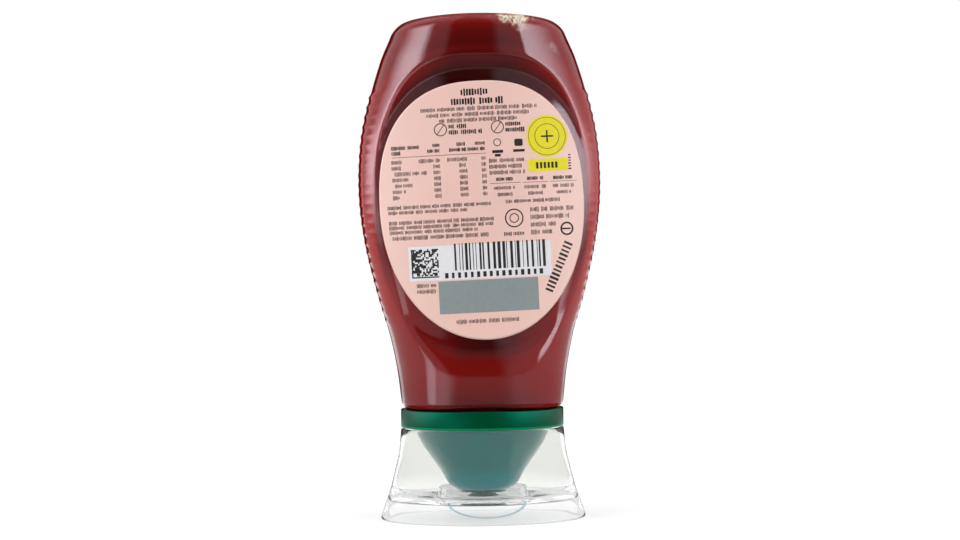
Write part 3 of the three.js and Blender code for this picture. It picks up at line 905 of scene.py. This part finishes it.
closure_angles = circle(200)
nozzle = np.array([
    (nozzle_z, 2.6), (nozzle_z, 6.9), (nozzle_z + 0.12, 7.2), (nozzle_z + 0.4, 7.5), (8.5, 7.6),
])
cone_z = np.linspace(cone_low, cone_high, 60)
band = rounded_steps(band_low, band_high, 0.35)
socket_width, socket_depth = plug_half_width + 0.3, plug_half_depth + 0.3
inside_z = np.array([30.6, 30.2, 28.0, 24.0, 21.0, 18.0, 15.0, 12.0, 10.4, 10.3])
inside_width = np.append(socket_width - 0.2, cone(inside_z[1:]) - cone_wall)
inside_depth = np.append(socket_depth - 0.2, cone_depth(inside_z[1:]) - cone_wall)
closure_rings = np.concatenate([
    oval(nozzle[:, 1], nozzle[:, 1], nozzle[:, 0], closure_angles),
    oval(cone(cone_z), cone_depth(cone_z), cone_z, closure_angles),
    oval(band_half_width - band[:, 1], band_half_depth - band[:, 1], band[:, 0], closure_angles),
    oval(socket_width + 0.2, socket_depth + 0.2, np.array([band_high]), closure_angles),
    oval(socket_width, socket_depth, np.array([band_high - 0.25, 31.0]), closure_angles),
    oval(inside_width, inside_depth, inside_z, closure_angles),
    oval(orifice_radius, orifice_radius, np.array([10.2, nozzle_z + 0.5]), closure_angles),
])


def green_colour(tree):
    """Dark on the band with a painted light line on its lower edge, and a paler blue-green of painted light
    on the cone.
    """
    level = tree.level()
    cloud = tree.noise(120.0, 2.0)
    dark = tree.ramp(cloud, (0.35, (0.0004, 0.037, 0.011, 1)), (0.65, (0.0005, 0.043, 0.014, 1)))
    # a painted light line along the band's lower edge
    edge = tree.blend(level.rise(29.3, 29.6), (0.001, 0.19, 0.065, 1), dark)
    # the cone painted a paler blue-green, paler still low down, for the light seen through the overcap
    pale = tree.blend(level.rise(11, 18), (0.006, 0.2, 0.225, 1), (0.0015, 0.124, 0.128, 1))
    # darker on the nozzle below the cone
    pale = tree.blend(level.rise(8.4, 8.8), (0.001, 0.045, 0.045, 1), pale)
    return tree.blend(level.rise(cone_high, band_low), pale, edge)


def cone_gloss(tree):
    """A clear white gloss on the cone alone."""
    return 1 - tree.level().rise(cone_high, band_low)


moulded_green = plastic(
    "moulded_green", green_colour, Roughness=0.3, IOR=1.5, Normal=fine_waves(160, 0.00002),
    Specular_IOR_Level=0.36, Specular_Tint=(0.01, 1, 0.72, 1),
    Coat_Weight=cone_gloss, Coat_Roughness=0.12, Coat_IOR=1.55,
)
closure = link("closure_green", skin("closure_green", closure_rings, closed=True), moulded_green)
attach(closure, "root")
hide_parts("closure")


# The overcap: one clear moulding, a flared oval skirt that the bottle stands on. A plate spans it near
# the foot and dips under the nozzle, with a round wall that seals it off, and the skirt has a half-moon
# thumb recess on the near side.
skirt_top, skirt_wall, foot_wall, skirt_depth_share = 28.5, 1.3, 1.7, 0.69
skirt_width = through((0.5, 32.3), (3.3, 31.4), (8.3, 29.6), (14.5, 27.9), (21, 26.4), (skirt_top, 25.66))
plate_low, plate_high, dip_low, dip_high = 6.0, 7.4, 5.5, 6.2
seal_radius_out, seal_radius_in, seal_high = 14.0, 12.8, 9.8
thumb_half_width, thumb_low, thumb_high, thumb_deep = 12.0, 2.4, 6.9, 0.5


def skirt(z, inset):
    """Rings of the flared skirt, which spreads less in depth than in width, drawn in by an inset."""
    width = skirt_width(z)
    depth = band_half_depth + skirt_depth_share * (width - band_half_width)
    return oval(width - inset, depth - inset, z, cap_angles)


# columns close together on the near side, for the thumb recess
near = np.linspace(-0.62, 0.62, 130) - math.pi / 2
far = np.linspace(near[-1], near[0] + 2 * math.pi, 190)[1:-1]
cap_angles = np.concatenate([near, far])
plain_z = np.concatenate([np.linspace(0.8, 8.4, 60), np.linspace(9, skirt_top - 0.4, 44)])
outer_z = np.concatenate([[0, 0.15, 0.5], plain_z, [skirt_top - 0.1, skirt_top]])
outer_inset = np.concatenate([[0.4, 0.12, 0.0], 0 * plain_z, [0.1, 0.4]])
outer_skirt = skirt(outer_z, outer_inset)
near_side = outer_skirt[:, :, 1] < 0
edge = (outer_skirt[:, :, 2] - thumb_high) / (thumb_high - thumb_low)
moon = np.hypot(outer_skirt[:, :, 0] / thumb_half_width, np.minimum(edge, 0))
recess = thumb_deep * (1 - smooth(moon, 0.96, 1.0)) * (1 - smooth(edge, -0.03, 0.03))
outer_skirt[:, :, 1] += recess * near_side
# a painted shade line along the steep top edge of the thumb recess
painted_rim_shade = smooth(moon, 0.925, 0.955) * (1 - smooth(moon, 1.0, 1.03)) * (edge < 0.02) * near_side

# (height, drawn in) down inside the skirt, and from the plate's under side down to the foot
upper = np.array([
    (skirt_top, 0.7), (skirt_top - 0.2, 1.25), (24, skirt_wall), (20, skirt_wall), (16, skirt_wall),
    (13, skirt_wall), (10.4, skirt_wall), (10.0, 1.36), (9.8, 1.68), (9.0, foot_wall), (8.2, foot_wall),
    (plate_high + 0.35, 1.75), (plate_high + 0.1, 1.9), (plate_high, 2.2),
])
under = np.array([
    (plate_low, 4.0), (plate_low, 2.3), (plate_low - 0.1, 1.9), (plate_low - 0.4, foot_wall),
    (3.0, foot_wall), (0.3, foot_wall), (0.0, 1.4),
])

# (height, radius) over the sealing wall and into the dip
seal = np.array([
    (plate_high, seal_radius_out + 0.3), (plate_high + 0.3, seal_radius_out),
    (seal_high - 0.2, seal_radius_out), (seal_high, seal_radius_out - 0.2),
    (seal_high, seal_radius_in + 0.2), (seal_high - 0.2, seal_radius_in), (dip_high + 0.3, seal_radius_in),
    (dip_high, seal_radius_in - 0.3), (dip_high, 8.0), (dip_high, 3.0), (dip_high, 0.5),
])
dip_widths, dip_depths = [16.0, 13.0, 12.6, 8.0, 0.5], [14.0, 12.6, 12.2, 7.0, 0.5]
dip_z = np.array([plate_low, plate_low, dip_low, dip_low, dip_low])
cap_rings = np.concatenate([
    oval(seal[::-1, 1], seal[::-1, 1], seal[::-1, 0], cap_angles),
    skirt(*upper[::-1].T),
    outer_skirt[::-1],
    skirt(*under[::-1].T),
    oval(dip_widths, dip_depths, dip_z, cap_angles),
])


def cap_colour(tree):
    """Clear, a little greyer above the plate, with a blue-grey line of painted shade on the thumb recess's
    steep edge.
    """
    cloud = tree.noise(60.0, 3.0)
    clear = tree.ramp(cloud, (0.35, (0.845, 0.85, 0.85, 1)), (0.65, (0.865, 0.87, 0.87, 1)))
    clear = tree.blend(tree.level().rise(9, 14), clear, (0.755, 0.765, 0.745, 1))
    return tree.blend(tree.stored("line"), clear, (0.2, 0.38, 0.5, 1))


clear_moulding = plastic(
    "clear_moulding", cap_colour, Roughness=0.06, IOR=1.1, Specular_IOR_Level=0.0,
    Transmission_Weight=0.98, Normal=fine_waves(200, 0.00002),
)
cap_mesh = skin("overcap_clear", cap_rings)
# the painted shade line, kept on each point of the overcap
line = np.zeros(cap_rings.shape[:2])
first = len(seal) + len(upper)
line[first:first + len(outer_z)] = painted_rim_shade[::-1]
cap_mesh.attributes.new("line", "FLOAT", "POINT").data.foreach_set("value", [*line.ravel(), 0, 0])
overcap = link("overcap_clear", cap_mesh, clear_moulding)
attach(overcap, "root")
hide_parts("overcap")
